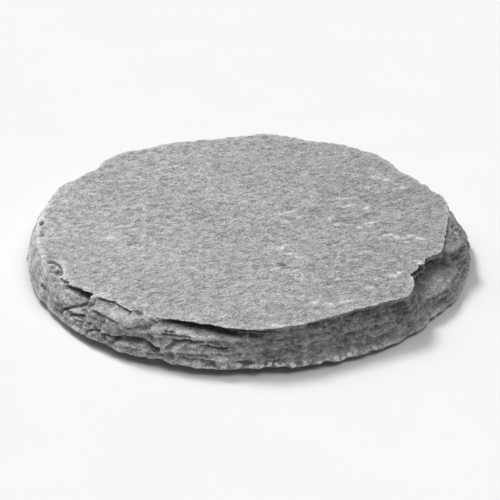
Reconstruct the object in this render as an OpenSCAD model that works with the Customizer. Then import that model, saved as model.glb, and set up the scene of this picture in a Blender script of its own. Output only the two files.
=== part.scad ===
// Round slate disc with a hewn edge, standing on four self-adhesive foam feet.
// Frame: the origin is on the surface that the feet stand on, below the middle of the disc.
// +Z is up and -Y is the front. Angles are counted from +X (the right) towards +Y (the back).

/* [Slate disc] */
// Diameter across the lower rim, the widest part of the disc
rim_d = 100; // [80:1:150]
// Thickness of the slate
slate_t = 7; // [5:0.5:10]
// Number of split layers that the edge is chipped in
layer_count = 10; // [6:1:14]
// Depth of the chips along the edge, as a share of the drawn depth
chip_scale = 1; // [0:0.1:1.3]
// Height of the ragged waves along each layer's edge
ragged = 0.25; // [0:0.05:0.4]

/* [Feet] */
// Diameter of a foam foot
foot_d = 10; // [6:0.5:14]
// Thickness of a foot's foam
foam_t = 1.35; // [1:0.05:3]
// Thickness of the adhesive film between the foam and the slate
film_t = 0.15; // [0.1:0.05:0.3]
// How much smaller the adhesive film is than the foam, in diameter
film_inset = 0.4; // [0.2:0.1:1]
// Height of the softened lower edge of the foam
foam_bevel = 0.3; // [0.1:0.1:0.5]
// Distance of each foot's centre from the middle of the disc
foot_reach = 32; // [20:1:32]

/* [Hidden] */

$fn = 64;

// Angles of the four feet
front_left = 225;
front_right = 315;
rear_left = 135;
rear_right = 45;

// Underside of the slate, on top of the foam and its film
slate_z = foam_t + film_t;
layer_t = slate_t / layer_count;

// The outlines are drawn for a disc with a rim of this diameter
drawn_d = 100;
grow = rim_d / drawn_d;

// Corners along the edge of each layer
corner_step = 3;

// Edge of the top face: [angle, radius]
top_edge = [
    [0, 45], [8, 46.5], [16, 46.8], [20, 46], [34, 44.3], [48, 46.5], [57, 46], [70, 44.5],
    [80, 45.7], [84, 46.3], [90, 44.8], [102, 43.2], [114, 45], [122, 45], [131, 46.8],
    [139, 46.4], [143, 45], [151, 45.7], [158, 47.8], [168, 46.6], [178, 47], [215, 47],
    [220, 45.6], [230, 43.8], [240, 44.7], [250, 43.5], [260, 43.6], [270, 45], [280, 44.3],
    [300, 43], [310, 44.3], [317, 46], [321, 45.6], [326, 42.6], [332, 42], [339, 42.4],
    [343, 44.4], [352, 44.4], [360, 45]
];

// Lower rim: [angle, radius]
lower_rim = [
    [0, 50.6], [20, 50], [60, 49.8], [95, 50.2], [130, 49.7], [165, 50.2], [200, 50],
    [235, 50.2], [262, 49.9], [270, 49.4], [290, 49.4], [305, 50], [322, 49.2], [335, 50],
    [350, 50.3], [360, 50.6]
];

// Flakes broken out of the edge: [angle, half width in degrees, depth, lowest, highest],
// where lowest and highest are shares of the slate's thickness
chips = [
    [180, 5, 1.2, 0.85, 1],
    [206, 6, 1.6, 0.85, 1],
    [218, 9, 2.4, 0.65, 0.9],
    [226, 7, 1.4, 0.45, 0.65],
    [242, 9, 1.8, 0.25, 0.45],
    [246, 6, 1.2, 0.75, 1],
    [259, 13, 2.6, 0.65, 0.9],
    [257, 8, 1.2, 0.45, 0.6],
    [288, 7, 0.8, 0.55, 0.85],
    [312, 8, 1, 0.5, 0.8],
    [332, 13, 2.2, 0.45, 1],
    [331, 7, 1, 0.15, 0.3],
    [345, 8, 1.4, 0.25, 0.6],
    [10, 9, 1, 0.35, 0.6],
    [38, 11, 1.2, 0.5, 0.85],
    [72, 9, 1, 0.3, 0.6],
    [101, 10, 1.3, 0.5, 0.9],
    [145, 8, 1.1, 0.4, 0.8]
];

// Angle between two directions, from 0 to 180
function between(a, b) = abs((a - b + 540) % 360 - 180);

// How deep all chips together cut at an angle and a height, before scaling
function chip_depth(angle, height) =
    let (cuts = [
        for (c = chips)
            let (off = between(angle, c[0]) / c[1])
            if (off < 1 && height >= c[3] && height <= c[4]) c[2] * cos(90 * off)
    ])
    len(cuts) == 0 ? 0 : max(cuts);

// Small waves that differ from layer to layer
function waves(angle, layer) =
    ragged * (sin(7 * angle + 131 * layer) + 0.7 * sin(17 * angle + 57 * layer)) / 1.7;

// The flank leaves the lower rim steeply and leans in towards the top face
function lean(height) = pow(height, 1.15);

// Radius of the edge, where height is the share of the slate's thickness
function edge_radius(angle, height, layer) =
    let (
        outer = lookup(angle, lower_rim),
        inner = lookup(angle, top_edge),
        sloped = outer + (inner - outer) * lean(height)
    )
    grow * (sloped - chip_scale * chip_depth(angle, height) + waves(angle, layer));

// One split layer: a flat slice with a ragged outline
module split_layer(layer) {
    height = layer / (layer_count - 1);
    translate([0, 0, slate_z + layer * layer_t])
        linear_extrude(layer_t)
            polygon([
                for (angle = [0 : corner_step : 360 - corner_step])
                    edge_radius(angle, height, layer) * [cos(angle), sin(angle)]
            ]);
}

module slate_disc() {
    color([0.6, 0.61, 0.62])
        for (layer = [0 : layer_count - 1]) split_layer(layer);
}

// Puts a foot or its film at one of the four corners
module at_corner(angle) {
    translate([foot_reach * cos(angle), foot_reach * sin(angle), 0]) children();
}

// A disc of black foam with a softened lower edge
module foam_foot(angle) {
    color([0.1, 0.1, 0.1])
        at_corner(angle) {
            cylinder(h = foam_bevel, d1 = foot_d - 2 * foam_bevel, d2 = foot_d);
            translate([0, 0, foam_bevel]) cylinder(h = foam_t - foam_bevel, d = foot_d);
        }
}

// The double-sided film that holds a foot to the slate
module adhesive_film(angle) {
    color([0.9, 0.88, 0.8])
        at_corner(angle)
            translate([0, 0, foam_t]) cylinder(h = film_t, d = foot_d - film_inset);
}

slate_disc();
foam_foot(front_left);  // front_left_foot
foam_foot(front_right);  // front_right_foot
foam_foot(rear_left);  // rear_left_foot
foam_foot(rear_right);  // rear_right_foot
adhesive_film(front_left);  // front_left_adhesive
adhesive_film(front_right);  // front_right_adhesive
adhesive_film(rear_left);  // rear_left_adhesive
adhesive_film(rear_right);  // rear_right_adhesive
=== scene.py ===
"""Looks for the round slate disc on four foam feet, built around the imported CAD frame."""

import math

import bpy
import numpy as np
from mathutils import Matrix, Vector


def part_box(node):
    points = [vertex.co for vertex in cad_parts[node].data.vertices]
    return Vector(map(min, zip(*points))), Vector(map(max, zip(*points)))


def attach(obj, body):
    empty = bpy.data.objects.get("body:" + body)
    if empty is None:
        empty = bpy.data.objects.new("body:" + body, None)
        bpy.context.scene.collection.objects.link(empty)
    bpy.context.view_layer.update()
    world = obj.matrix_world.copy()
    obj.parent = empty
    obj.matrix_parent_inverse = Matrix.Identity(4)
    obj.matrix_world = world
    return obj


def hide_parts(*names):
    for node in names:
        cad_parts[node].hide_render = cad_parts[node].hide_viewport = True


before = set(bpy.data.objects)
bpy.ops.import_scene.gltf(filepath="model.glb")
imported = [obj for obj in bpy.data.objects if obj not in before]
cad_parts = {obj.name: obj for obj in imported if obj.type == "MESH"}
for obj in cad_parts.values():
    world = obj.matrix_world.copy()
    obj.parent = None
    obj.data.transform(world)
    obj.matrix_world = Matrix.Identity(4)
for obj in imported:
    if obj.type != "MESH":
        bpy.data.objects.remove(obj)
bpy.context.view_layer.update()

MM = 0.001
SEED = 7

# ---------------------------------------------------------------- sizes from the frame

slate_low, slate_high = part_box("slate_disc")
UNDERSIDE = slate_low.z / MM
TOP = slate_high.z / MM
THICKNESS = TOP - UNDERSIDE
DRAWN_WIDTH = 100.8  # the outlines below are drawn for a slate this wide, in mm
GROW = (slate_high.x - slate_low.x) / MM / DRAWN_WIDTH
MIDDLE_RADIUS = 48  # of the flank, in mm
ARC = math.radians(1) * MIDDLE_RADIUS  # mm along the middle of the flank for each degree

FEET = ["front_left", "front_right", "rear_left", "rear_right"]

# ---------------------------------------------------------------- the slate's outlines, in mm
# Angles are in degrees from +X (right) towards +Y (back). The edge and the rim are given at
# their corners, and straight stretches join them.

TOP_EDGE = [  # (angle, radius) of the cleft top face
    (0, 45.0), (8, 46.5), (16, 46.8), (20, 45.9), (34, 44.2), (48, 46.4), (57, 45.9), (70, 44.4),
    (80, 45.6), (83, 46.3), (90, 44.8), (102, 43.1), (114, 44.9), (122, 44.9), (131, 46.8),
    (139, 46.4), (143, 45.0), (151, 45.7), (158, 47.8), (168, 46.6), (178, 47.0), (215, 47.0),
    (220, 45.6), (225, 44.6), (230, 43.8), (240, 44.7), (250, 43.5), (260, 43.6), (270, 45.0),
    (280, 44.3), (290, 43.5), (300, 43.0), (310, 44.3), (317, 46.0), (320, 45.7), (324.5, 43.6),
    (326.3, 42.8), (327.2, 41.3), (331.5, 42.0), (333.5, 41.3), (335, 42.2), (338, 41.8),
    (343, 44.4), (352, 44.4),
]
LOWER_RIM = [  # (angle, radius) of the widest edge
    (0, 50.5), (20, 50.0), (60, 49.8), (95, 50.2), (130, 49.7), (165, 50.2), (185, 49.9), (200, 49.8),
    (215, 49.9), (235, 50.2), (262, 49.9), (270, 49.4), (282, 49.4), (290, 49.0), (305, 49.3),
    (321, 49.3), (323.5, 48.4), (327, 49.1), (335, 49.7), (350, 50.2),
]
RIM_SAG = [  # (angle, mm) by which the edge of the underside hangs below its middle
    (0, 0.6), (30, 0.3), (90, 0.2), (150, 0.4), (175, 0.7), (210, 0.6), (228, 0.0), (278, 0.0),
    (291, 0.5), (310, 0.7), (340, 0.7),
]
# Sections of the flank, each of eight corners from the top edge to the lower rim: (down, out),
# as shares of the thickness and of the run from the top edge to the rim. Where down grows alone
# there is a wall, and where out grows alone there is a ledge.
SECTIONS = {
    5: [(0, 0), (.07, .02), (.12, .22), (.28, .45), (.45, .68), (.62, .82), (.82, .93), (1, 1)],
    16: [(0, 0), (.12, .06), (.25, .22), (.40, .42), (.55, .60), (.70, .74), (.85, .90), (1, 1)],
    32: [(0, 0), (.18, .04), (.24, .28), (.45, .36), (.52, .62), (.72, .70), (.80, .90), (1, 1)],
    55: [(0, 0), (.10, .04), (.18, .24), (.35, .34), (.46, .58), (.66, .70), (.82, .90), (1, 1)],
    78: [(0, 0), (.22, .05), (.27, .30), (.42, .40), (.60, .56), (.68, .78), (.85, .88), (1, 1)],
    103: [(0, 0), (.14, .04), (.22, .20), (.46, .32), (.52, .60), (.70, .68), (.82, .88), (1, 1)],
    128: [(0, 0), (.20, .03), (.26, .24), (.40, .44), (.58, .54), (.66, .80), (.86, .90), (1, 1)],
    150: [(0, 0), (.10, .06), (.22, .22), (.38, .40), (.54, .58), (.68, .74), (.84, .88), (1, 1)],
    178: [(0, 0), (.06, .14), (.14, .30), (.26, .48), (.42, .65), (.60, .80), (.80, .92), (1, 1)],
    206: [(0, 0), (.06, .14), (.14, .30), (.26, .48), (.42, .65), (.60, .80), (.80, .92), (1, 1)],
    212: [(0, 0), (.05, .01), (.07, .04), (.09, .08), (.18, .34), (.40, .70), (.70, .90), (1, 1)],
    215: [(0, 0), (.05, .00), (.06, -.20), (.15, -.20), (.20, .16), (.42, .66), (.70, .88), (1, 1)],
    219: [(0, 0), (.05, .00), (.06, -.32), (.21, -.32), (.25, .10), (.44, .58), (.70, .86), (1, 1)],
    222.8: [(0, 0), (.05, .00), (.06, -.32), (.25, -.32), (.29, .10), (.44, .48), (.70, .80), (1, 1)],
    223.6: [(0, 0), (.04, .16), (.10, .24), (.28, .34), (.42, .44), (.56, .64), (.72, .80), (1, 1)],
    224.8: [(0, 0), (.04, .16), (.10, .24), (.28, .36), (.42, .54), (.56, .68), (.72, .82), (1, 1)],
    226: [(0, 0), (.10, .01), (.12, .26), (.20, .44), (.26, .56), (.42, .70), (.74, .90), (1, 1)],
    235: [(0, 0), (.10, .01), (.12, .30), (.18, .50), (.24, .58), (.44, .72), (.76, .90), (1, 1)],
    241: [(0, 0), (.05, .05), (.14, .38), (.34, .56), (.52, .66), (.68, .62), (.74, .86), (1, 1)],
    246: [(0, 0), (.05, .00), (.08, .04), (.12, .10), (.20, .40), (.50, .60), (.74, .84), (1, 1)],
    250: [(0, 0), (.055, .00), (.065, -.14), (.17, -.14), (.20, .38), (.40, .46), (.66, .74), (1, 1)],
    257: [(0, 0), (.055, -.01), (.065, -.32), (.22, -.32), (.25, .42), (.42, .50), (.64, .78), (1, 1)],
    263: [(0, 0), (.055, -.01), (.065, -.32), (.26, -.32), (.29, .28), (.46, .44), (.66, .76), (1, 1)],
    268: [(0, 0), (.055, .00), (.065, -.12), (.28, -.10), (.34, .14), (.50, .38), (.70, .72), (1, 1)],
    273: [(0, 0), (.055, .00), (.065, -.06), (.30, -.05), (.40, .18), (.56, .44), (.74, .74), (1, 1)],
    278: [(0, 0), (.20, .02), (.34, .18), (.48, .34), (.62, .52), (.76, .72), (.88, .90), (1, 1)],
    300: [(0, 0), (.18, .08), (.34, .22), (.50, .38), (.64, .54), (.78, .74), (.90, .91), (1, 1)],
    317: [(0, 0), (.20, .06), (.36, .20), (.50, .38), (.64, .56), (.78, .74), (.90, .92), (1, 1)],
    323: [(0, 0), (.24, .02), (.40, .14), (.54, .38), (.64, .58), (.76, .76), (.88, .90), (1, 1)],
    326: [(0, 0), (.42, -.03), (.46, .20), (.51, .48), (.57, .74), (.70, .78), (.86, .88), (1, 1)],
    333: [(0, 0), (.44, .02), (.48, .30), (.53, .56), (.58, .80), (.72, .82), (.86, .88), (1, 1)],
    340: [(0, 0), (.40, .04), (.45, .24), (.52, .50), (.60, .72), (.74, .80), (.88, .88), (1, 1)],
    342.5: [(0, 0), (.40, .04), (.45, .22), (.52, .46), (.60, .68), (.74, .78), (.88, .88), (1, 1)],
    345.5: [(0, 0), (.09, .01), (.12, .14), (.17, .26), (.46, .31), (.55, .60), (.80, .84), (1, 1)],
    349: [(0, 0), (.09, .01), (.12, .20), (.21, .52), (.54, .57), (.64, .76), (.82, .88), (1, 1)],
    352: [(0, 0), (.09, .00), (.12, .22), (.24, .60), (.30, .76), (.66, .82), (.84, .92), (1, 1)],
    356: [(0, 0), (.09, -.01), (.12, .22), (.25, .46), (.42, .68), (.60, .82), (.82, .93), (1, 1)],
}
# How strongly the split layers show in the flank, from 0 to 1
LAYERED = [
    (0, 0.6), (60, 0.8), (120, 0.7), (180, 0.25), (205, 0.6), (230, 0.7), (262, 0.8), (275, 0.45),
    (315, 0.4), (330, 0.6), (350, 0.6),
]

# Cracks and undercuts in the flank: points of (angle, height), half height in mm and depth in mm,
# where height is a share of the thickness
CRACKS = [
    ([(211.5, 0.95), (214, 0.93)], 0.2, 0.7),
    ([(216.5, 0.28), (219, 0.48), (221, 0.56), (223, 0.68)], 0.28, 1.0),
    ([(220, 0.28), (222, 0.38), (224.5, 0.46)], 0.22, 0.8),
    ([(224.9, 0.96), (225.6, 0.88), (225.9, 0.80)], 0.25, 0.5),
    ([(227, 0.16), (229, 0.28), (231, 0.32)], 0.22, 0.8),
    ([(225, 0.22), (227, 0.12)], 0.25, 0.7),
    ([(232, 0.28), (234, 0.3)], 0.2, 0.6),
    ([(226.5, 0.91), (230, 0.90), (234, 0.90), (237, 0.92)], 0.16, 0.6),
    ([(241, 0.95), (243, 0.92), (245, 0.85)], 0.16, 0.6),
    ([(236, 0.28), (239, 0.36), (243, 0.37), (247, 0.29)], 0.5, 1.5),
    ([(250, 0.36), (251.5, 0.48), (254, 0.57), (258, 0.60)], 0.38, 1.0),
    ([(248, 0.66), (251, 0.68), (255, 0.69)], 0.18, 0.5),
    ([(258, 0.50), (261, 0.48), (264.5, 0.47)], 0.26, 0.8),
    ([(259, 0.16), (263, 0.12)], 0.3, 0.6),
    ([(325, 0.84), (330, 0.80), (336, 0.76), (341, 0.78)], 0.5, 0.5),
    ([(30, 0.82), (37, 0.80), (44, 0.83)], 0.35, 1.0),
    ([(88, 0.62), (96, 0.64), (104, 0.60)], 0.35, 1.2),
    ([(128, 0.85), (134, 0.83), (139, 0.86)], 0.35, 1.0),
    ([(62, 0.38), (68, 0.42), (73, 0.40)], 0.3, 0.9),
    ([(155, 0.50), (160, 0.54), (166, 0.50)], 0.25, 0.7),
    ([(184, 0.40), (188, 0.44), (191, 0.42)], 0.2, 0.5),
    ([(203, 0.96), (206, 0.90), (208.5, 0.97)], 0.2, 0.5),
    ([(205, 0.40), (207, 0.44)], 0.35, 0.5),
]

# Patches of the flank that split smoothly: (angle, height, half width, half height), where angles
# are in degrees and heights are shares of the thickness
SMOOTH_PATCHES = [
    (192, 0.5, 22, 1.2), (218, 0.62, 5, 0.22), (231, 0.86, 6.5, 0.14), (238, 0.80, 3, 0.14),
    (256, 0.70, 7, 0.08), (242, 0.20, 5, 0.07), (335, 0.45, 8, 0.12),
]

# Broad scars where a flake broke off: (angle, height, half width, half height, depth),
# half sizes in mm and height as a share of the thickness
SCARS = [
    (228, 0.80, 3.0, 1.2, 0.5),
    (240, 0.75, 3.0, 1.4, 0.4),
    (312, 0.68, 5.0, 1.6, 0.4),
    (330, 0.22, 5.0, 1.2, 0.7),
    (347, 0.42, 2.5, 2.0, 0.6),
    (10, 0.55, 7.0, 2.0, 0.8),
    (48, 0.45, 6.0, 1.8, 0.8),
    (74, 0.60, 7.0, 1.8, 0.8),
    (112, 0.40, 6.0, 2.0, 0.8),
    (150, 0.60, 5.0, 1.8, 0.7),
]

# Shallow pits in the top face near its edge: (angle, radius, half along, half across, depth)
TOP_PITS = [
    (180, 46.7, 1.2, 0.7, 0.9),
    (186, 46.2, 1.6, 0.6, 0.25),
    (204.5, 46.8, 1.8, 1.3, 0.45),
    (207.6, 46.3, 1.0, 1.2, 0.8),
    (239, 44.6, 1.6, 1.4, 0.5),
]

# Grooves that run round in an oval on the top face: (angle, radius, half along, half across, depth)
LOOP_SCARS = [
    (205.5, 46.3, 3.0, 1.3, 0.6),
]

# Brightness of the hewn flank, partly the broken stone's own darker colour and partly painted shade on
# the sides turned from the light and painted light on the side turned to it: (angle, share of the top
# face's)
FLANK_TONE_AND_SHADE = [
    (0, 0.78), (20, 0.82), (60, 0.88), (120, 0.90), (160, 0.96), (180, 1.03), (205, 0.97),
    (215, 0.92),
    (226, 0.78), (240, 0.80), (248, 0.88), (258, 0.96), (265, 0.79), (272, 0.65), (300, 0.66),
    (316, 0.64), (324, 0.66), (335, 0.74), (344, 0.75), (352, 0.77),
]
# Patches of painted shade on the flank, mostly just below the top edge: (angle, height, half width,
# half height, how much darker), where angles are in degrees and heights are shares of the thickness
PAINTED_SHADE_PATCHES = [
    (345, 0.68, 9, 0.16, 0.35), (336, 0.72, 7, 0.16, 0.3), (318, 0.72, 8, 0.14, 0.15),
    (302, 0.78, 6, 0.12, 0.15), (285, 0.74, 5, 0.16, 0.15), (296, 0.34, 5, 0.14, 0.12),
]
# How much of the lower rim is crushed to pale specks, by angle
CRUSHED = [
    (0, 0.1), (60, 0.3), (120, 0.2), (190, 0.1), (225, 0.2), (255, 0.3), (262, 0.7), (275, 1.0),
    (297, 1.0), (303, 0.6), (310, 0.3), (318, 0.3), (322, 0.6), (330, 0.2), (350, 0.1),
]
# White mineral marks: (x, y, half length, half width, direction, strength)
MINERALS = [
    (7.0, 4.3, 0.8, 0.3, 40, 1.0), (8.6, 5.4, 0.7, 0.25, 20, 1.0), (10.6, 6.2, 0.8, 0.25, 30, 1.0),
    (8.4, 1.4, 0.5, 0.3, 60, 1.0), (9.6, 0.6, 0.7, 0.25, -40, 1.0), (11.4, 3.2, 0.5, 0.25, 10, 0.9),
    (22.8, 8.2, 1.4, 0.3, 10, 0.9), (18.5, 2.0, 0.8, 0.3, 70, 0.9), (19.7, -0.2, 0.6, 0.3, -30, 1.0),
    (27.5, 0.5, 1.4, 0.3, 20, 0.9), (25.0, -1.6, 0.8, 0.25, 30, 0.8), (31.0, -5.4, 1.2, 0.35, 20, 1.0),
    (33.4, -6.6, 1.2, 0.45, -20, 1.0), (36.0, -5.8, 1.0, 0.35, 15, 1.0), (38.4, -6.9, 1.2, 0.4, -6, 1.0),
    (35.0, -8.2, 0.8, 0.25, 0, 0.8), (9.5, -13.5, 0.9, 0.45, 20, 0.9), (7.2, -11.5, 0.9, 0.3, 0, 0.8),
    (10.8, -15.2, 0.6, 0.3, -50, 0.8), (11.5, -22.8, 0.8, 0.35, 10, 0.8), (31.0, -22.8, 1.0, 0.4, -15, 1.0),
    (32.4, -21.6, 0.5, 0.3, 40, 1.0), (17.0, -35.0, 1.3, 0.4, 10, 0.9), (20.5, -33.8, 1.3, 0.4, 20, 0.9),
    (14.0, -34.2, 0.8, 0.4, 0, 0.7), (26.0, -28.0, 0.8, 0.4, 0, 0.7), (30.0, 22.2, 1.2, 0.5, -20, 0.9),
    (32.4, 20.8, 1.0, 0.5, -20, 0.8), (36.0, 17.0, 0.8, 0.4, 0, 0.8), (-30.5, -6.5, 1.8, 1.0, 10, 0.5),
    (6.0, -43.2, 1.0, 0.4, 0, 1.0), (9.5, -43.4, 0.8, 0.35, 0, 0.9), (37.2, -17.5, 0.7, 0.4, -20, 1.0),
    (35.5, -23.6, 0.6, 0.5, -60, 1.0), (-20.0, 30.0, 1.2, 0.5, 0, 0.5), (22.5, 12.0, 2.0, 0.3, 5, 0.6),
    (15.0, 9.0, 0.8, 0.25, 20, 0.7), (27.0, 7.0, 0.8, 0.25, 20, 0.7), (-12.0, -20.0, 0.7, 0.3, 0, 0.5),
]
# Faint warm stains: (x, y, half length, half width, direction, strength)
WARM_PATCHES = [
    (-34.0, 24.0, 5.0, 2.5, 10, 0.9), (-32.0, 17.0, 4.0, 2.0, 0, 0.8), (-20.0, 11.0, 4.0, 1.5, -10, 0.6),
    (-40.0, 2.0, 4.5, 1.5, 0, 0.6), (10.0, -36.0, 6.0, 2.0, 5, 0.5), (0.0, -41.0, 6.0, 1.5, 0, 0.7),
]


def around(table, angles):
    """Value of a closed table of (angle, value) at each angle."""
    known = np.array(table, float)
    return np.interp(angles, known[:, 0], known[:, 1], period=360)


def ramp(low, high, value):
    """0 up to low, 1 from high on, and smooth between. With low above high it falls instead."""
    t = np.clip((value - low) / (high - low), 0, 1)
    return t * t * (3 - 2 * t)


def bearing(x, y):
    """Angle of a point round the disc, from 0 to 360 degrees."""
    return np.degrees(np.arctan2(y, x)) % 360


def turn(angles, centre):
    """Signed angle from centre, from -180 to 180."""
    return (angles - centre + 180) % 360 - 180


# ---------------------------------------------------------------- smooth noise on grids

def spline_weights(places, cell, cells_round=0):
    """Cubic B-spline weights of lattice values spaced by cell, wrapped if cells_round is set."""
    spot = (places - (0 if cells_round else places.min())) / cell
    first = np.floor(spot).astype(int)
    t = spot - first
    parts = [
        (1 - t) ** 3 / 6,
        (3 * t ** 3 - 6 * t ** 2 + 4) / 6,
        (-3 * t ** 3 + 3 * t ** 2 + 3 * t + 1) / 6,
        t ** 3 / 6,
    ]
    size = cells_round or int(first.max()) + 4
    weights = np.zeros((len(places), size))
    rows = np.arange(len(places))
    for step, part in enumerate(parts):
        np.add.at(weights, (rows, (first + step) % size), part)
    return weights


def spline_noise(rng, *weights):
    """Noise with a spread of 1 on the grid that the weights span."""
    noise = rng.standard_normal([w.shape[1] for w in weights])
    for w in weights:
        noise = np.moveaxis(np.tensordot(w, noise, axes=(1, 0)), 0, -1)
    return noise / noise.std()


def ring_noise(rng, angles, cell_degrees):
    """Noise round the disc."""
    cells = max(4, round(360 / cell_degrees))
    return spline_noise(rng, spline_weights(angles, 360 / cells, cells))


# ---------------------------------------------------------------- the slate's flank

def split_layers(rng, angles, heights):
    """How far each split layer stands out of the flank, at each angle and height, in mm."""
    thinnest, thickest = 0.18, 0.6
    edges = [0.0]
    while edges[-1] < THICKNESS + 1:
        edges.append(edges[-1] + rng.uniform(thinnest, thickest))
    offsets = np.array([
        0.18 * ring_noise(rng, angles, 9) + 0.12 * ring_noise(rng, angles, 3)
        + 0.09 * ring_noise(rng, angles, 1.1) + 0.06 * ring_noise(rng, angles, 0.5)
        for _ in edges
    ])
    dip = 0.3 * ring_noise(rng, angles, 40) + 0.1 * ring_noise(rng, angles, 6)
    level = heights[:, None] * THICKNESS + dip[None, :]
    layer = np.clip(np.searchsorted(edges, level) - 1, 0, len(edges) - 1)
    return offsets[layer, np.arange(len(angles))[None, :]]


def section_run(angles, heights):
    """Share of the run from the top edge to the rim at each height and angle."""
    corners = range(8)
    down = [around([(a, section[c][0]) for a, section in SECTIONS.items()], angles) for c in corners]
    out = [around([(a, section[c][1]) for a, section in SECTIONS.items()], angles) for c in corners]
    below = (1 - heights)[:, None]
    run = np.zeros((len(heights), len(angles)))
    for c in corners[:-1]:
        share = np.clip((below - down[c]) / (down[c + 1] - down[c]), 0, 1)
        run += share * (out[c + 1] - out[c])
    return run


def scar_depth(rng, angles, heights):
    """Depth of the bowls that broken flakes left, in mm. Neighbouring bowls meet in ridges."""
    count = 300
    random_scars = [
        (rng.uniform(0, 360), rng.uniform(-0.05, 1.0), rng.uniform(1.0, 4.0),
         rng.uniform(0.4, 1.4), rng.uniform(0.1, 0.4))
        for _ in range(count)
    ]
    depth = np.zeros((len(heights), len(angles)))
    for angle, height, half_width, half_height, deep in SCARS + random_scars:
        across = turn(angles, angle) * ARC / half_width
        upward = (heights - height) * THICKNESS / half_height
        bowl = deep * (1 - across[None, :] ** 2 - upward[:, None] ** 2)
        depth = np.maximum(depth, bowl)
    return depth


def crack_depth(rng, angles, heights):
    """Depth of the cracks and undercuts, in mm, on the flank unrolled at its middle radius. Each
    wanders a little up and down, and ends in a taper."""
    taper = 0.6
    wander = 0.07 * ring_noise(rng, angles, 4) + 0.05 * ring_noise(rng, angles, 1)
    upward = heights[:, None] * THICKNESS + wander[None, :] * (1.1 - heights[:, None])
    depth = np.zeros((len(heights), len(angles)))
    for points, half_height, deep in CRACKS:
        for (first, start), (last, end) in zip(points, points[1:]):
            run = (last - first) * ARC
            rise = (end - start) * THICKNESS
            across = turn(angles, first)[None, :] * ARC
            up = upward - start * THICKNESS
            share = np.clip((across * run + up * rise) / (run ** 2 + rise ** 2), 0, 1)
            gap = np.hypot((across - share * run) * taper, up - share * rise) / half_height
            depth = np.maximum(depth, deep * np.clip(1.4 - gap ** 2, 0, 1))
    return depth


def roughness(angles, heights):
    """How rough the flank is at each height and angle, from smoothest on a smooth patch to 1."""
    smoothest = 0.15
    rough = np.ones((len(heights), len(angles)))
    for angle, height, half_width, half_height in SMOOTH_PATCHES:
        gap = np.hypot(turn(angles, angle)[None, :] / half_width,
                       (heights[:, None] - height) / half_height)
        rough = np.minimum(rough, smoothest + (1 - smoothest) * ramp(0.8, 1.15, gap))
    return rough


def crushed_lumps(rng, angles, above_rim):
    """How far the crushed lower rim swells out in lumps, in mm."""
    swell, middle, spread = 0.6, 0.1, 0.045
    lumps = np.clip(ring_noise(rng, angles, 1.2), 0, 1) * around(CRUSHED, angles)
    return swell * np.exp(-((above_rim - middle) / spread) ** 2) * lumps[None, :]


def ragged_rim(angles, above_rim):
    """How far the lowest part of the flank stands out of the rim's outline, in mm."""
    rng = np.random.default_rng(SEED + 2)
    ragged = 0.22 * ring_noise(rng, angles, 2.2) + 0.13 * ring_noise(rng, angles, 0.9)
    ragged = np.clip(ragged, -0.6, 0.35) * (0.45 + 0.55 * around(CRUSHED, angles))
    return (1 - ramp(0.12, 0.4, above_rim)) * ragged[None, :]


def flank_radius(rng, angles, heights):
    """Radius of the flank at each height and angle, in mm."""
    outer = around(LOWER_RIM, angles)
    inner = around(TOP_EDGE, angles)
    smooth = inner + (outer - inner) * section_run(angles, heights)
    # the layers and scars fade out where the top face's and the rim's own outlines take over
    free = (1 - 0.8 * ramp(0.88, 0.97, heights)) * (0.3 + 0.7 * ramp(0.02, 0.2, heights))
    free = free[:, None] * roughness(angles, heights)
    layers = split_layers(rng, angles, heights) * around(LAYERED, angles)[None, :]
    radius = smooth + layers * free
    radius -= scar_depth(rng, angles, heights) * free
    radius -= crack_depth(rng, angles, heights)
    above_rim = heights[:, None] + around(RIM_SAG, angles)[None, :] / THICKNESS
    radius += crushed_lumps(rng, angles, above_rim)
    radius += ragged_rim(angles, above_rim)
    nicks = 0.07 * ring_noise(rng, angles, 1.6) + 0.05 * ring_noise(rng, angles, 0.7)
    return GROW * (radius + nicks[None, :])


# ---------------------------------------------------------------- the slate's faces

def top_height(rng, xs, ys):
    """Height of the cleft top face, in mm: slow swells, small ripples and grain."""
    def relief(amount, cell_x, cell_y):
        return amount * spline_noise(rng, spline_weights(xs, cell_x), spline_weights(ys, cell_y))
    drop = 0.2  # mm, so that the swells stay about the height of the frame's top
    height = relief(0.05, 14, 10) + relief(0.04, 5, 3) + relief(0.045, 2.0, 1.4)
    height += relief(0.045, 0.9, 0.7) + relief(0.035, 0.45, 0.4)
    return TOP - drop + height


def top_pits(x, y):
    """Depth of the pits and oval grooves near the edge of the top face, in mm."""
    def oval_place(angle, radius, along, across):
        """Place in half widths from the middle of an oval: round the disc, and outward."""
        a = math.radians(angle)
        dx = x - radius * math.cos(a)
        dy = y - radius * math.sin(a)
        round_disc = (-dx * math.sin(a) + dy * math.cos(a)) / along
        outward = (dx * math.cos(a) + dy * math.sin(a)) / across
        return round_disc, outward

    groove = 0.3  # half width of a groove, as a share of its oval
    depth = np.zeros_like(x)
    for *oval, deep in TOP_PITS:
        round_disc, outward = oval_place(*oval)
        depth = np.maximum(depth, deep * np.clip(1 - round_disc ** 2 - outward ** 2, 0, 1) ** 0.5)
    for *oval, deep in LOOP_SCARS:
        off_groove = (np.hypot(*oval_place(*oval)) - 1) / groove
        depth = np.maximum(depth, deep * np.clip(1 - off_groove ** 2, 0, 1))
    return depth


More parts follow.
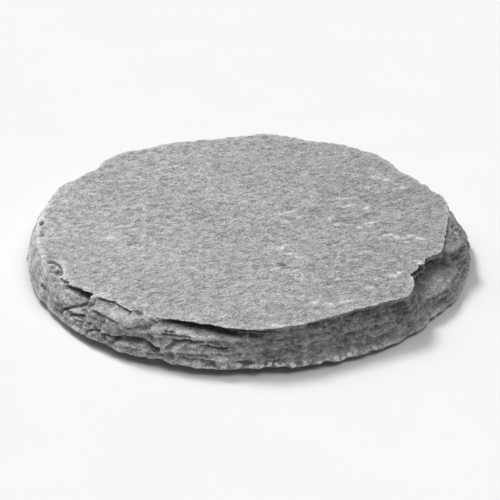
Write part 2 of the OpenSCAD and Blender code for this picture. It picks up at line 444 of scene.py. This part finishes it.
def underside_height(rng, xs, ys, radius, angle):
    """Height of the split underside, in mm, with chips out of its edge. It never dips into the
    films, but its edge sags below them a little in places."""
    def relief(amount, cell):
        return amount * spline_noise(rng, spline_weights(xs, cell), spline_weights(ys, cell))
    sag_from, sag_full, chips_full = 43.0, 48.0, 49.6  # radii in mm
    split = 0.08 + relief(0.04, 7) + relief(0.03, 1.6) + relief(0.025, 0.6)
    chips = np.clip(relief(1, 1.3), 0, 2)
    chips *= ramp(sag_full, chips_full, radius) * (0.15 + 0.35 * around(CRUSHED, angle))
    sag = around(RIM_SAG, angle) * ramp(sag_from, sag_full, radius)
    return UNDERSIDE + np.clip(split, 0, None) + chips - sag


# ---------------------------------------------------------------- skin of a solid given as a field

def fill_pinches(field):
    """Fills a field in, sample by sample, until no two parts of its solid meet in just an edge, so
    that every edge of its skin has two faces."""
    just_inside = -0.01
    pinches = 1
    while pinches:
        pinches = 0
        for axis in range(3):
            views = []
            one, other = [a for a in range(3) if a != axis]
            for i, j in ((0, 0), (1, 1), (0, 1), (1, 0)):
                window = [slice(None)] * 3
                window[one] = slice(i, field.shape[one] - 1 + i)
                window[other] = slice(j, field.shape[other] - 1 + j)
                views.append(field[tuple(window)])
            for full, empty in ((views[:2], views[2:]), (views[2:], views[:2])):
                pinched = (full[0] < 0) & (full[1] < 0) & (empty[0] >= 0) & (empty[1] >= 0)
                nearer = empty[0] <= empty[1]
                empty[0][pinched & nearer] = just_inside
                empty[1][pinched & ~nearer] = just_inside
                pinches += np.count_nonzero(pinched)
    return field


def surface_nets(field, axes):
    """Closed quad skin of the region where field is below 0, on the grid of three axes."""
    inside = field < 0
    cells = [n - 1 for n in field.shape]
    filled = np.zeros(cells, np.int8)
    for i in (0, 1):
        for j in (0, 1):
            for k in (0, 1):
                filled += inside[i:i + cells[0], j:j + cells[1], k:k + cells[2]]
    active = np.argwhere((filled > 0) & (filled < 8))
    index = np.full(cells, -1)
    index[tuple(active.T)] = np.arange(len(active))

    total = np.zeros((len(active), 3))
    hits = np.zeros(len(active))
    for axis in range(3):
        unit = np.eye(3, dtype=int)[axis]
        across = [a for a in range(3) if a != axis]
        for i in (0, 1):
            for j in (0, 1):
                low = active.copy()
                low[:, across[0]] += i
                low[:, across[1]] += j
                high = low + unit
                at_low, at_high = field[tuple(low.T)], field[tuple(high.T)]
                crosses = (at_low < 0) != (at_high < 0)
                share = at_low[crosses] / (at_low[crosses] - at_high[crosses])
                start = np.stack([axes[a][low[crosses, a]] for a in range(3)], 1)
                end = np.stack([axes[a][high[crosses, a]] for a in range(3)], 1)
                total[crosses] += start + share[:, None] * (end - start)
                hits[crosses] += 1
    points = total / hits[:, None]

    quads = []
    for axis in range(3):
        a, b = np.eye(3, dtype=int)[(axis + 1) % 3], np.eye(3, dtype=int)[(axis + 2) % 3]
        low = inside.take(range(cells[axis]), axis)
        high = inside.take(range(1, cells[axis] + 1), axis)
        at = np.argwhere(low != high)
        quad = np.stack([index[tuple((at - s).T)] for s in (a + b, b, 0 * a, a)], 1)
        outward = low[tuple(at.T)]
        quads.append(np.where(outward[:, None], quad, quad[:, ::-1]))
    return points, np.concatenate(quads)


def mesh_piece(name, points, faces):
    """A smooth-shaded mesh object from points in mm."""
    mesh = bpy.data.meshes.new(name)
    mesh.from_pydata((points * MM).tolist(), [], [list(face) for face in faces])
    mesh.update()
    mesh.shade_smooth()
    piece = bpy.data.objects.new(name, mesh)
    bpy.context.scene.collection.objects.link(piece)
    return piece


def without_loose_bits(points, quads):
    """Keeps the largest connected part of a skin."""
    label = np.arange(len(points))
    while True:
        lowest = label[quads].min(axis=1)
        spread = label.copy()
        for corner in quads.T:
            np.minimum.at(spread, corner, lowest)
        spread = spread[spread]
        if np.array_equal(spread, label):
            break
        label = spread
    kept = label == np.bincount(label).argmax()
    place = np.cumsum(kept) - 1
    return points[kept], place[quads[kept[quads[:, 0]]]]


def thin_out(piece, triangles):
    """Merges the flattest faces until the piece has about that many triangles."""
    now = sum(len(polygon.vertices) - 2 for polygon in piece.data.polygons)
    decimate = piece.modifiers.new("thin_out", "DECIMATE")
    decimate.ratio = min(1, triangles / now)
    thinned = bpy.data.meshes.new_from_object(
        piece.evaluated_get(bpy.context.evaluated_depsgraph_get())
    )
    piece.modifiers.clear()
    piece.data = thinned
    thinned.shade_smooth()


def point_value(piece, name, values):
    """Keeps one number per point for the material to read."""
    attribute = piece.data.attributes.new(name, "FLOAT", "POINT")
    attribute.data.foreach_set("value", np.asarray(values, np.float32))


def point_places(piece):
    """The points of a piece, in mm."""
    points = np.zeros(len(piece.data.vertices) * 3)
    piece.data.vertices.foreach_get("co", points)
    return points.reshape(-1, 3) / MM


def point_normals(piece):
    """The surface's direction at each point of a piece."""
    normals = np.zeros(len(piece.data.vertices) * 3)
    piece.data.vertices.foreach_get("normal", normals)
    return normals.reshape(-1, 3)


def hollows(piece, points, rounds):
    """How far each point lies below the smoothed surface round it, in mm."""
    edges = np.zeros(len(piece.data.edges) * 2, int)
    piece.data.edges.foreach_get("vertices", edges)
    one, other = edges.reshape(-1, 2).T
    count = len(points)
    neighbours = np.bincount(one, minlength=count) + np.bincount(other, minlength=count)
    smooth = points.copy()
    for _ in range(rounds):
        for axis in range(3):
            value = smooth[:, axis]
            total = np.bincount(one, value[other], count) + np.bincount(other, value[one], count)
            smooth[:, axis] = total / neighbours
    return np.einsum("ij,ij->i", smooth - points, point_normals(piece))


def flecks(x, y, table):
    """Strength of elongated marks on the top face, from 0 to 1."""
    narrowest = 0.42  # mm, as finer marks fall between the points
    strength = np.zeros_like(x)
    for mark_x, mark_y, half_length, half_width, direction, most in table:
        a = math.radians(direction)
        along = ((x - mark_x) * math.cos(a) + (y - mark_y) * math.sin(a)) / half_length
        across = (y - mark_y) * math.cos(a) - (x - mark_x) * math.sin(a)
        across /= max(half_width, narrowest)
        strength = np.maximum(strength, most * np.exp(-along ** 2 - across ** 2))
    return strength


def slate_skin():
    """Points and quads of the slate's skin: a field cut by the flank, the top face and the
    underside."""
    rng = np.random.default_rng(SEED)
    step, step_up, margin = 0.25, 0.2, 1.0
    reach = 52.0 * GROW  # mm from the middle to the sides of the grid
    xs = ys = np.arange(-reach, reach + step, step)
    zs = np.arange(UNDERSIDE - margin, TOP + margin, step_up)
    x, y = np.meshgrid(xs, ys, indexing="ij")
    radius = np.hypot(x, y)
    angle = bearing(x, y)

    bins = 3600
    angles = np.arange(bins) * 360 / bins
    heights = (zs - UNDERSIDE) / THICKNESS
    flank = flank_radius(rng, angles, heights)
    spot = angle * bins / 360
    left = spot.astype(int) % bins
    share = (spot - np.floor(spot))[..., None]
    edge = flank.T[left] * (1 - share) + flank.T[(left + 1) % bins] * share

    def crumble(amount, cell, cell_up):
        return amount * spline_noise(
            rng, spline_weights(xs, cell), spline_weights(ys, cell), spline_weights(zs, cell_up)
        )
    grit = crumble(0.07, 0.8, 0.45) + crumble(0.07, 0.4, 0.28) - np.abs(crumble(0.14, 2.4, 1.2))
    grit *= (0.35 + 0.65 * ramp(0.0, 0.15, heights)) * (1 - 0.6 * ramp(0.86, 0.97, heights))
    edge += grit * roughness(angles, heights).T[left]

    slope = 0.7  # the flank slopes, so it is nearer than the way straight out to it
    side = slope * (radius[..., None] - edge)
    top = zs - (top_height(rng, xs, ys) - top_pits(x, y))[..., None]
    bottom = underside_height(rng, xs, ys, radius / GROW, angle)[..., None] - zs
    field = fill_pinches(np.maximum(np.maximum(side, top), bottom))
    return without_loose_bits(*surface_nets(field, (xs, ys, zs)))


def painted_shade_patches(angle, height, hewn):
    """Share of the brightness left in the flank's patches of painted shade, at each point."""
    left = np.ones_like(angle)
    for patch_angle, patch_height, half_width, half_height, darkened in PAINTED_SHADE_PATCHES:
        gap = np.hypot(turn(angle, patch_angle) / half_width, (height - patch_height) / half_height)
        left *= 1 - darkened * hewn * (1 - ramp(0.5, 1.2, gap))
    return left


def mark_slate(slate):
    """Keeps what the slate's material reads at each point: hewn is 1 on the flank and 0 on the
    faces, tone is the brightness with painted shade on the flank and the underside in it, hollow is how
    far a point lies below the surface round it, for painted shade, and the others are how strong each mark
    is."""
    points = point_places(slate)
    x, y = points[:, 0], points[:, 1]
    below = TOP - points[:, 2]
    angle = bearing(x, y)
    down = below / (THICKNESS + around(RIM_SAG, angle))
    past_edge = np.hypot(x, y) - GROW * around(TOP_EDGE, angle)
    facing_up = point_normals(slate)[:, 2]
    under = ramp(-0.5, -0.8, facing_up) * ramp(0.8, 0.9, below / THICKNESS)
    steep_edge = ramp(0.85, 0.6, facing_up) * ramp(-0.8, -0.3, past_edge)
    hewn = np.maximum(ramp(0.35, 0.75, below), steep_edge) * (1 - under)
    face = (1 - hewn) * (1 - under)

    # painted shade and light: the flank's tone by angle, partly the broken stone's own darker colour
    darker = 1 - around(FLANK_TONE_AND_SHADE, angle)
    painted_falloff = 0.003  # painted shade: how much darker the stone is drawn with each mm to the right, away from the light
    # painted shade: the flank is darker just below the top edge and lighter towards the rim, the more so
    # where its tone is darker
    tone = 1 - darker * hewn * (1 - 0.8 * (down - 0.5)) - painted_falloff * x
    # painted shade under the overhanging top edge, and on the downward faces of the underside
    overhang_shade = ramp(0.0, 0.9, -past_edge) * ramp(0.35, 0.5, below) * (below < 0.5 * THICKNESS)
    tone *= (1 - 0.6 * hewn * overhang_shade) * (1 - 0.3 * under)
    # painted shade in patches just below the top edge
    tone *= painted_shade_patches(angle, 1 - down, hewn)
    # how far each point lies in a hollow, for painted shade in hollows and painted light on crests
    smoothings, deepest = 10, 0.25
    sunk = hollows(slate, points, smoothings)
    rim_band = ramp(0.82, 0.87, down) * (1 - ramp(0.97, 0.985, down))
    minerals = np.minimum(0.85, 1.5 * flecks(x, y, MINERALS))

    point_value(slate, "hewn", hewn)
    point_value(slate, "tone", tone)
    point_value(slate, "hollow", np.clip(sunk / deepest, -1, 1))
    point_value(slate, "crushed", rim_band * around(CRUSHED, angle) * (1 - under))
    point_value(slate, "mineral", minerals * face)
    point_value(slate, "warmth", flecks(x, y, WARM_PATCHES) * face)


def make_slate(material):
    """The slate disc, as one closed skin."""
    triangles = 190_000
    slate = mesh_piece("cleft_slate", *slate_skin())
    thin_out(slate, triangles)
    mark_slate(slate)
    slate.data.materials.append(material)
    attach(slate, "root")
    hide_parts("slate_disc")


# ---------------------------------------------------------------- feet and adhesive films

def pad_profile(radius, low, high, bevel, bulge):
    """(radius, height, outward, up) of points from the middle of the underside of a round pad,
    up its side and back to the middle of its top, with the surface's direction at each."""
    inner = np.append(np.arange(0.25, radius - bevel, 0.25), radius - bevel)
    bends = np.linspace(0, math.pi / 2, 5)[1:]
    side = np.linspace(0, 1, 7)[1:]
    profile = [(r, low, 0, -1) for r in inner]
    profile += [
        (radius - bevel * (1 - math.sin(a)), low + bevel * (1 - math.cos(a)), math.sin(a), -math.cos(a))
        for a in bends
    ]
    profile += [
        (radius + bulge * math.sin(math.pi * t), low + bevel + t * (high - low - 2 * bevel), 1, 0)
        for t in side
    ]
    profile += [
        (radius - bevel * (1 - math.cos(a)), high - bevel * (1 - math.sin(a)), math.cos(a), math.sin(a))
        for a in bends
    ]
    profile += [(r, high, 0, 1) for r in inner[-2::-1]]
    return np.array(profile)


def round_pad(name, middle, profile, wobble, pores, rng):
    """A round pad about a vertical line through middle. wobble is how unevenly it was cut, in mm,
    and pores is (how many, largest half width, depth) of the pits in its underside and side."""
    sides = 120
    turns = np.arange(sides) * 2 * math.pi / sides
    cut_edge = wobble * ring_noise(rng, np.degrees(turns), 18)
    count, widest, deep = pores
    reach = profile[:, 0].max()
    pore_radius = reach * np.sqrt(rng.uniform(0, 1.5, count)).clip(0, 1)
    pore_turn = rng.uniform(0, 2 * math.pi, count)
    on_side = pore_radius > reach - 0.01
    low, high = profile[:, 1].min(), profile[:, 1].max()
    pore_height = np.where(on_side, rng.uniform(low, high, count), low)
    pore_size = rng.uniform(0.4, 1, count) * widest

    points = [np.array([[0, 0, low]])]
    for radius, height, outward, up in profile:
        spread = radius + cut_edge * (radius / reach) ** 4
        ring = np.stack([spread * np.cos(turns), spread * np.sin(turns), np.full(sides, height)], 1)
        pores_at = np.stack(
            [pore_radius * np.cos(pore_turn), pore_radius * np.sin(pore_turn), pore_height], 1
        )
        gap = np.linalg.norm(ring[:, None] - pores_at[None], axis=2) / pore_size
        pit = deep * np.clip(1 - gap ** 2, 0, 1).max(axis=1) * (up < 0.5)
        inward = -np.stack([outward * np.cos(turns), outward * np.sin(turns), np.full(sides, up)], 1)
        points.append(ring + inward * pit[:, None])
    points.append(np.array([[0, 0, high]]))
    rings = len(profile)
    last = rings * sides + 1
    faces = [(0, 1 + (k + 1) % sides, 1 + k) for k in range(sides)]
    for ring in range(rings - 1):
        a, b = 1 + ring * sides, 1 + (ring + 1) * sides
        faces += [(a + k, a + (k + 1) % sides, b + (k + 1) % sides, b + k) for k in range(sides)]
    top = last - sides
    faces += [(top + k, top + (k + 1) % sides, last) for k in range(sides)]
    return mesh_piece(name, np.concatenate(points) + middle, faces)


def box_of(node):
    """Middle of a node's underside, its radius and its height, in mm."""
    low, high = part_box(node)
    middle = np.array([(low.x + high.x) / 2, (low.y + high.y) / 2, low.z]) / MM
    return middle, (high.x - low.x) / 2 / MM, (high.z - low.z) / MM


def make_foot(place, material, rng):
    """A cut disc of closed-cell foam, squeezed a little under the slate so that its side bulges."""
    middle, radius, height = box_of(place + "_foot")
    profile = pad_profile(radius - 0.1, 0, height, 0.3, 0.1)
    foot = round_pad(place + "_foam_pad", middle, profile, 0.03, (420, 0.32, 0.12), rng)
    foot.data.materials.append(material)
    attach(foot, "root")
    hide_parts(place + "_foot")


def make_film(place, material, rng):
    """The double-sided film that holds a foot, cut a little unevenly, up against the slate."""
    middle, radius, height = box_of(place + "_adhesive")
    profile = pad_profile(radius, 0, height + 0.04, 0.05, 0.02)
    film = round_pad(place + "_film", middle, profile, 0.06, (40, 0.2, 0.02), rng)
    film.data.materials.append(material)
    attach(film, "root")
    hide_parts(place + "_adhesive")


# ---------------------------------------------------------------- materials

class Recipe:
    """A node material in the making. Its noises lie in the object's own space."""

    def __init__(self, name):
        self.material = bpy.data.materials.new(name)
        self.material.use_nodes = True
        self.nodes = self.material.node_tree.nodes
        self.nodes.clear()
        self.shader = self.node("ShaderNodeBsdfPrincipled")
        output = self.node("ShaderNodeOutputMaterial")
        self.feed(output.inputs["Surface"], self.shader.outputs[0])
        self.place = self.node("ShaderNodeTexCoord").outputs["Object"]

    def node(self, kind, **settings):
        node = self.nodes.new(kind)
        for name, value in settings.items():
            setattr(node, name, value)
        return node

    def feed(self, socket, value):
        """Links a socket to an output, or sets its value."""
        if isinstance(value, bpy.types.NodeSocket):
            self.material.node_tree.links.new(value, socket)
        else:
            socket.default_value = value

    def attribute(self, name):
        return self.node("ShaderNodeAttribute", attribute_name=name).outputs["Fac"]

    def math(self, operation, *values):
        node = self.node("ShaderNodeMath", operation=operation)
        for socket, value in zip(node.inputs, values):
            self.feed(socket, value)
        return node.outputs[0]

    def total(self, *values):
        """The sum of several values."""
        result = values[0]
        for value in values[1:]:
            result = self.math("ADD", result, value)
        return result

    def noise(self, size, detail=0.0, roughness=0.5, stretch=(1, 1, 1), turned=0.0, shift=0.0):
        """Noise from 0 to 1 whose largest features are about size mm, stretched along each axis.
        The axes are turned about the vertical by some degrees."""
        turner = self.node("ShaderNodeMapping")
        self.feed(turner.inputs["Vector"], self.place)
        self.feed(turner.inputs["Rotation"], (0, 0, math.radians(-turned)))
        spread = self.node("ShaderNodeMapping")
        self.feed(spread.inputs["Vector"], turner.outputs[0])
        self.feed(spread.inputs["Scale"], [1 / (size * MM * s) for s in stretch])
        self.feed(spread.inputs["Location"], (shift, shift, shift))
        noise = self.node("ShaderNodeTexNoise")
        self.feed(noise.inputs["Vector"], spread.outputs[0])
        self.feed(noise.inputs["Scale"], 1.0)
        self.feed(noise.inputs["Detail"], detail)
        self.feed(noise.inputs["Roughness"], roughness)
        return noise.outputs[0]

    def between(self, value, low, high, at_low=0.0, at_high=1.0):
        """Goes smoothly from at_low to at_high as value goes from low to high."""
        node = self.node("ShaderNodeMapRange", interpolation_type="SMOOTHSTEP")
        for name, number in zip(("Value", "From Min", "From Max", "To Min", "To Max"),
                                (value, low, high, at_low, at_high)):
            self.feed(node.inputs[name], number)
        return node.outputs["Result"]

    def blend(self, share, one, other):
        """A colour that goes from one to other."""
        node = self.node("ShaderNodeMix", data_type="RGBA")
        colours = [socket for socket in node.inputs if socket.type == "RGBA"]
        self.feed(node.inputs[0], share)
        self.feed(colours[0], one)
        self.feed(colours[1], other)
        return next(socket for socket in node.outputs if socket.type == "RGBA")

    def scaled(self, colour, amount):
        node = self.node("ShaderNodeVectorMath", operation="SCALE")
        self.feed(node.inputs[0], colour)
        self.feed(node.inputs["Scale"], amount)
        return node.outputs[0]

    def bump(self, height, depth, under=None):
        """A bump whose height runs over depth mm, on top of another bump."""
        node = self.node("ShaderNodeBump")
        self.feed(node.inputs["Height"], height)
        self.feed(node.inputs["Distance"], depth * MM)
        self.feed(node.inputs["Strength"], 1.0)
        if under is not None:
            self.feed(node.inputs["Normal"], under)
        return node.outputs[0]


def grey(value, warmth=0.0, green=0.0):
    """A grey, warmer or cooler by warmth, and greener or more purple by green."""
    return (value * (1 + warmth), value * (1 + green), value * (1 - warmth), 1)


def slate_material():
    """Cleft slate with salt-and-pepper grain, slow clouds, white mineral flecks and warm stains, a
    darker hewn flank with blotches, fine layers and pale sparks, and a lower rim crushed to crumbs.
    The flank's darkness is partly the broken stone's own colour and partly painted shade, and
    hollows are darker and crests lighter as painted shade and painted light."""
    slate = Recipe("slate")
    hewn = slate.attribute("hewn")
    hollow = slate.attribute("hollow")

    grain = slate.noise(1.8, detail=2, roughness=0.6)
    salt = slate.noise(0.4, detail=2, roughness=0.7, shift=11)
    clouds = slate.noise(9, detail=2, roughness=0.6, stretch=(1.6, 1, 1))
    layers = slate.noise(1.6, detail=3, roughness=0.7, stretch=(1, 1, 0.35))
    blotches = slate.noise(3.5, detail=2, roughness=0.6, stretch=(1.3, 1.3, 0.6), shift=19)
    calm = slate.between(hewn, 0, 1, 1.0, 0.8)
    sparks = slate.noise(0.8, detail=2, roughness=0.6, stretch=(1, 1, 0.5), shift=13)
    texture = slate.total(
        slate.between(grain, 0.2, 0.8, -0.12, 0.12),
        slate.math("MULTIPLY", slate.between(salt, 0.2, 0.8, -0.55, 0.55), calm),
        slate.between(clouds, 0.3, 0.7, -0.06, 0.06),
        slate.math("MULTIPLY", slate.between(layers, 0.25, 0.75, -0.35, 0.35), hewn),
        slate.math("MULTIPLY", slate.between(blotches, 0.3, 0.7, -0.25, 0.25), hewn),
        slate.math("MULTIPLY", slate.between(sparks, 0.6, 0.68, 0.0, 0.6), hewn),
    )
    tone = slate.math("MULTIPLY", slate.attribute("tone"), slate.math("ADD", texture, 1.0))
    # painted shade in hollows and painted light on crests
    tone = slate.math("MULTIPLY", tone, slate.between(hollow, -1, 1, 1.25, 0.5))

    colour = slate.blend(hewn, grey(0.515, 0.0, -0.005), grey(0.485, -0.005, -0.02))
    colour = slate.blend(slate.attribute("warmth"), colour, grey(0.43, 0.04))
    colour = slate.scaled(colour, tone)
    specks = slate.between(slate.noise(0.6, detail=2, roughness=0.6, shift=7), 0.36, 0.5)
    white = slate.math("MULTIPLY", slate.attribute("mineral"), specks)
    colour = slate.blend(white, colour, grey(0.95))
    crumb_size = 1.3
    lumps = slate.node("ShaderNodeTexVoronoi")
    slate.feed(lumps.inputs["Vector"], slate.place)
    slate.feed(lumps.inputs["Scale"], 1 / (crumb_size * MM))
    uneven = slate.between(slate.noise(0.6, detail=2, shift=3), 0.3, 0.7, -0.12, 0.12)
    crumbs = slate.between(slate.math("ADD", lumps.outputs["Distance"], uneven), 0.44, 0.54, 1.0, 0.0)
    crushed = slate.math("MULTIPLY", slate.attribute("crushed"), crumbs)
    colour = slate.blend(crushed, colour, grey(0.9, 0.02))
    slate.feed(slate.shader.inputs["Base Color"], colour)

    slate.feed(slate.shader.inputs["Roughness"], slate.between(grain, 0.3, 0.7, 0.7, 0.95))
    slate.feed(slate.shader.inputs["Specular IOR Level"], 0.3)
    ripples = slate.noise(1.05, detail=3, roughness=0.85, stretch=(1.6, 1, 1), turned=35, shift=5)
    ripples = slate.math("MULTIPLY", ripples, slate.between(hewn, 0, 1, 1.0, 0.4))
    relief = slate.bump(ripples, 1.15)
    relief = slate.bump(slate.math("MULTIPLY", layers, hewn), 0.35, relief)
    splinters = slate.noise(0.5, detail=3, roughness=0.7, stretch=(1, 1, 0.6), shift=17)
    relief = slate.bump(slate.math("MULTIPLY", splinters, hewn), 0.3, relief)
    slate.feed(slate.shader.inputs["Normal"], relief)
    return slate.material


def foam_material():
    """Black closed-cell foam: cells that show as fine dimples, each painted darkest at its bottom as shade,
    and a dusting of grey.
    """
    foam = Recipe("black_foam")
    cell_size = 0.35
    cells = foam.node("ShaderNodeTexVoronoi")
    foam.feed(cells.inputs["Vector"], foam.place)
    foam.feed(cells.inputs["Scale"], 1 / (cell_size * MM))
    dimples = cells.outputs["Distance"]
    dust = foam.between(foam.noise(1.5, detail=3, roughness=0.7), 0.45, 0.7)
    colour = foam.blend(dust, grey(0.025), grey(0.06))
    # painted shade: darkest at the bottom of each dimple
    colour = foam.blend(foam.between(dimples, 0.3, 0.7), grey(0.018), colour)
    foam.feed(foam.shader.inputs["Base Color"], colour)
    foam.feed(foam.shader.inputs["Roughness"], foam.between(dust, 0, 1, 0.65, 0.85))
    foam.feed(foam.shader.inputs["Normal"], foam.bump(dimples, 0.08))
    return foam.material


def film_material():
    """Cream adhesive film, cloudy where it has taken hold."""
    film = Recipe("adhesive_film")
    cloud = film.between(film.noise(2.5, detail=3, roughness=0.6), 0.35, 0.65)
    film.feed(film.shader.inputs["Base Color"], film.blend(cloud, grey(0.74, 0.08), grey(0.82, 0.04)))
    film.feed(film.shader.inputs["Roughness"], film.between(cloud, 0, 1, 0.3, 0.5))
    film.feed(film.shader.inputs["Normal"], film.bump(film.noise(0.6, detail=2), 0.03))
    return film.material


# ---------------------------------------------------------------- floor, light and camera

def make_floor():
    """A pale floor that curves up a little far away, so that no horizon shows."""
    flat, far, top, sides = 1.5, 3.0, 0.36, 96
    steps = np.linspace(0, 1, 9)
    profile = [(flat + (far - flat) * t, top * t * t) for t in steps]
    points = [(0, 0, 0)]
    for r, z in profile:
        points += [
            (r * math.cos(a), r * math.sin(a), z)
            for a in np.arange(sides) * 2 * math.pi / sides
        ]
    faces = [(0, 1 + i, 1 + (i + 1) % sides) for i in range(sides)]
    for ring in range(len(profile) - 1):
        a, b = 1 + ring * sides, 1 + (ring + 1) * sides
        faces += [(a + i, b + i, b + (i + 1) % sides, a + (i + 1) % sides) for i in range(sides)]
    mesh = bpy.data.meshes.new("floor")
    mesh.from_pydata(points, [], faces)
    mesh.shade_smooth()
    floor = bpy.data.objects.new("floor", mesh)
    bpy.context.scene.collection.objects.link(floor)
    pale = Recipe("pale_floor")
    mottle = pale.noise(30, detail=2)
    pale.feed(pale.shader.inputs["Base Color"], pale.blend(mottle, grey(0.85), grey(0.87)))
    pale.feed(pale.shader.inputs["Roughness"], 0.9)
    pale.feed(pale.shader.inputs["Specular IOR Level"], 0.1)
    mesh.materials.append(pale.material)


def make_sun(name, azimuth, elevation, softness, energy):
    """A far light from an azimuth and elevation, as wide as softness, all in degrees."""
    azimuth, elevation = math.radians(azimuth), math.radians(elevation)
    towards = Vector((
        math.cos(azimuth) * math.cos(elevation),
        math.sin(azimuth) * math.cos(elevation),
        math.sin(elevation),
    ))
    sun = bpy.data.lights.new(name, "SUN")
    sun.energy = energy
    sun.angle = math.radians(softness)
    light = bpy.data.objects.new(name, sun)
    light.rotation_mode = "QUATERNION"
    light.rotation_quaternion = towards.to_track_quat("Z", "Y")
    bpy.context.scene.collection.objects.link(light)


def make_light():
    """A soft key from the back left with a wider halo round it, a wide fill from high on the right,
    and a dim sky that is brightest overhead."""
    make_sun("key", 120, 42, 14, 2.2)
    make_sun("key_halo", 134, 41, 45, 1.05)
    make_sun("fill", 350, 65, 38, 1.05)

    world = bpy.data.worlds.new("studio")
    world.use_nodes = True
    nodes, links = world.node_tree.nodes, world.node_tree.links
    direction = nodes.new("ShaderNodeTexCoord")
    upward = nodes.new("ShaderNodeSeparateXYZ")
    strength = nodes.new("ShaderNodeMapRange")
    strength.inputs["To Min"].default_value = 0.03
    strength.inputs["To Max"].default_value = 0.12
    links.new(direction.outputs["Generated"], upward.inputs[0])
    links.new(upward.outputs["Z"], strength.inputs["Value"])
    links.new(strength.outputs[0], nodes["Background"].inputs["Strength"])
    nodes["Background"].inputs["Color"].default_value = (1, 1, 1, 1)
    bpy.context.scene.world = world


def make_camera():
    """Looks from the front, 30 degrees above the floor, a hair right of and below the middle of the
    underside."""
    elevation, distance, field_of_view = math.radians(30), 0.4048, math.radians(16)
    aim_right, aim_down = 0.0004, 0.0002
    target = Vector((aim_right, 0, UNDERSIDE * MM - aim_down))
    back = Vector((0, -math.cos(elevation), math.sin(elevation)))
    lens = bpy.data.cameras.new("camera")
    lens.angle = field_of_view
    lens.clip_start, lens.clip_end = 0.01, 20
    camera = bpy.data.objects.new("camera", lens)
    camera.location = target + back * distance
    camera.rotation_mode = "QUATERNION"
    camera.rotation_quaternion = (-back).to_track_quat("-Z", "Y")
    bpy.context.scene.collection.objects.link(camera)
    bpy.context.scene.camera = camera


make_camera()
make_light()
make_floor()
bpy.context.scene.view_settings.view_transform = "Standard"

make_slate(slate_material())
feet_rng = np.random.default_rng(SEED + 1)
foam = foam_material()
film = film_material()
for place in FEET:
    make_foot(place, foam, feet_rng)
    make_film(place, film, feet_rng)
